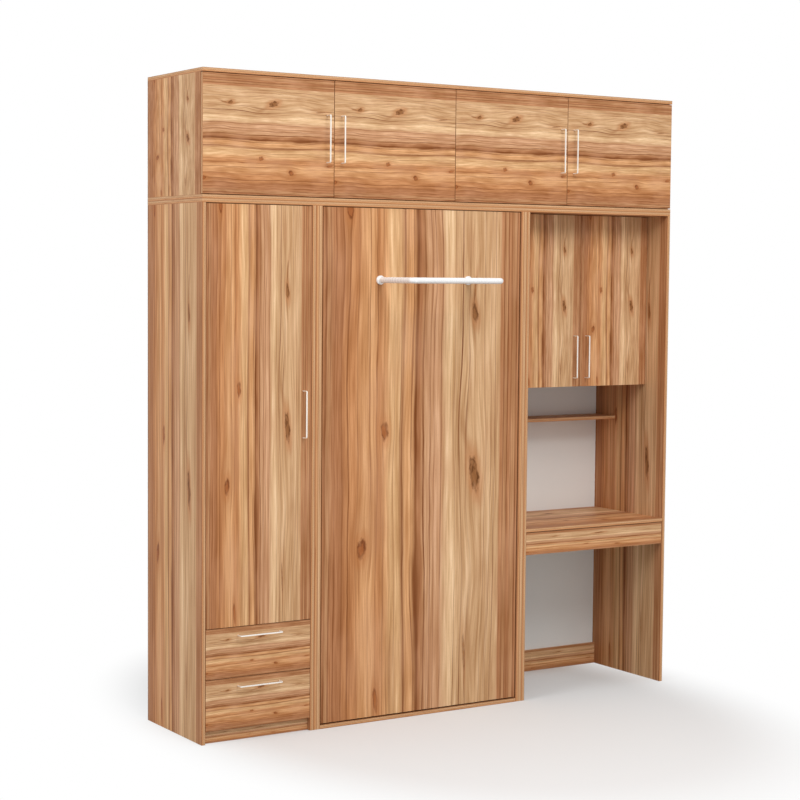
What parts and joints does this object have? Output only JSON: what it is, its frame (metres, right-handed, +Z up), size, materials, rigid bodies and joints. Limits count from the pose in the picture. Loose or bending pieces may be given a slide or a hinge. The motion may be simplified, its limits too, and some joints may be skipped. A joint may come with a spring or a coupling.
{
  "type": "wall bed",
  "caption": "Folding single bed in an upright case between a wardrobe with drawers and a desk unit, with a row of loft cabinets above.",
  "frame": {"origin": "on the floor line of the wall, in the middle of the width", "axes": "+X to the right seen from the front, +Y into the wall, +Z up"},
  "size_m": [2.4, 0.775, 2.7],
  "materials": {
    "wood_laminate": "satin, walnut-like laminate with knots",
    "back_sheet": "matt, white-faced hardboard",
    "drawer_board": "matt, white board",
    "frame_wood": "matt, sanded softwood",
    "slat_wood": "satin, bent beech slats",
    "handle_metal": "satin chrome",
    "leg_metal": "satin chrome",
    "bright_chrome": "polished",
    "zinc_steel": "zinc plated",
    "strut_paint": "black, semi-gloss",
    "mattress_cloth": "quilted ticking",
    "strap_webbing": "woven webbing"
  },
  "bodies": {
    "case": {"loft_top_board": "wood_laminate", "loft_bottom_board": "wood_laminate", "loft_left_side": "wood_laminate", "loft_right_side": "wood_laminate", "loft_divider": "wood_laminate", "carcass_top_board": "wood_laminate", "wardrobe_left_side": "wood_laminate", "wardrobe_right_side": "wood_laminate", "wardrobe_bottom_board": "wood_laminate", "wardrobe_mid_board": "wood_laminate", "wardrobe_plinth": "wood_laminate", "inner_shelves": "wood_laminate", "bed_case_left_side": "wood_laminate", "bed_case_right_side": "wood_laminate", "bed_case_bottom_board": "wood_laminate", "back_rails": "wood_laminate", "desk_left_side": "wood_laminate", "desk_right_side": "wood_laminate", "desk_top": "wood_laminate", "desk_open_shelf": "wood_laminate", "cabinet_bottom_board": "wood_laminate", "loft_back_panel": "back_sheet", "lower_back_panels": "back_sheet", "wardrobe_hanging_rail": "bright_chrome", "hinge_arms": "zinc_steel", "drawer_runner_rails": "zinc_steel", "bed_side_brackets": "zinc_steel"},
    "bed": {"bed_face_panel": "wood_laminate", "bed_frame": "frame_wood", "bed_slats": "slat_wood", "mattress": "mattress_cloth", "mattress_straps": "strap_webbing", "leg_bar": "leg_metal", "leg_flanges": "leg_metal", "bed_pivot_plates": "zinc_steel"},
    "strut_cylinders": {"gas_strut_cylinders": "strut_paint"},
    "strut_rods": {"gas_strut_rods": "bright_chrome"},
    "loft_door_1": {"loft_door_1": "wood_laminate", "loft_door_1_fittings": "handle_metal"},
    "loft_door_2": {"loft_door_2": "wood_laminate", "loft_door_2_fittings": "handle_metal"},
    "loft_door_3": {"loft_door_3": "wood_laminate", "loft_door_3_fittings": "handle_metal"},
    "loft_door_4": {"loft_door_4": "wood_laminate", "loft_door_4_fittings": "handle_metal"},
    "wardrobe_door": {"wardrobe_door": "wood_laminate", "wardrobe_door_fittings": "handle_metal"},
    "cabinet_door_left": {"cabinet_door_left": "wood_laminate", "cabinet_door_left_fittings": "handle_metal"},
    "cabinet_door_right": {"cabinet_door_right": "wood_laminate", "cabinet_door_right_fittings": "handle_metal"},
    "lower_drawer": {"lower_drawer_front": "wood_laminate", "lower_drawer_box": "drawer_board", "lower_drawer_fittings": "handle_metal"},
    "upper_drawer": {"upper_drawer_front": "wood_laminate", "upper_drawer_box": "drawer_board", "upper_drawer_fittings": "handle_metal"},
    "desk_drawer": {"desk_drawer_front": "wood_laminate", "desk_drawer_box": "drawer_board", "desk_drawer_fittings": "zinc_steel"}
  },
  "joints": [
    {"name": "bed_tilt", "type": "hinge", "parent": "case", "child": "bed", "pos_m": [-0.15, -0.462, 0.314], "axis": [1, 0, 0], "range_deg": [0, 90]},
    {"name": "strut_swing", "type": "hinge", "parent": "case", "child": "strut_cylinders", "pos_m": [-0.15, -0.2, 0.72], "axis": [1, 0, 0], "range_deg": [0, 9.2]},
    {"name": "strut_stroke", "type": "slide", "parent": "strut_cylinders", "child": "strut_rods", "axis": [0, 0.4493, 0.8934], "range_m": [0, 0.143]},
    {"name": "loft_door_1_hinge", "type": "hinge", "parent": "case", "child": "loft_door_1", "pos_m": [-1.1985, -0.51, 2.444], "axis": [0, 0, -1], "range_deg": [0, 110]},
    {"name": "loft_door_2_hinge", "type": "hinge", "parent": "case", "child": "loft_door_2", "pos_m": [-0.0015, -0.51, 2.444], "axis": [0, 0, 1], "range_deg": [0, 85]},
    {"name": "loft_door_3_hinge", "type": "hinge", "parent": "case", "child": "loft_door_3", "pos_m": [0.0015, -0.51, 2.444], "axis": [0, 0, -1], "range_deg": [0, 85]},
    {"name": "loft_door_4_hinge", "type": "hinge", "parent": "case", "child": "loft_door_4", "pos_m": [1.1985, -0.51, 2.444], "axis": [0, 0, 1], "range_deg": [0, 110]},
    {"name": "wardrobe_door_hinge", "type": "hinge", "parent": "case", "child": "wardrobe_door", "pos_m": [-1.182, -0.51, 1.319], "axis": [0, 0, -1], "range_deg": [0, 110]},
    {"name": "cabinet_door_left_hinge", "type": "hinge", "parent": "case", "child": "cabinet_door_left", "pos_m": [0.402, -0.37, 1.7785], "axis": [0, 0, -1], "range_deg": [0, 90]},
    {"name": "cabinet_door_right_hinge", "type": "hinge", "parent": "case", "child": "cabinet_door_right", "pos_m": [1.182, -0.37, 1.7785], "axis": [0, 0, 1], "range_deg": [0, 90]},
    {"name": "lower_drawer_slide", "type": "slide", "parent": "case", "child": "lower_drawer", "axis": [0, -1, 0], "range_m": [0, 0.33]},
    {"name": "upper_drawer_slide", "type": "slide", "parent": "case", "child": "upper_drawer", "axis": [0, -1, 0], "range_m": [0, 0.33]},
    {"name": "desk_drawer_slide", "type": "slide", "parent": "case", "child": "desk_drawer", "axis": [0, -1, 0], "range_m": [0, 0.33]}
  ],
  "couplings": [
    {"joint": "strut_swing", "follows": "bed_tilt", "ratio": 0.1},
    {"joint": "strut_stroke", "follows": "bed_tilt", "m_per_rad": 0.0905}
  ]
}
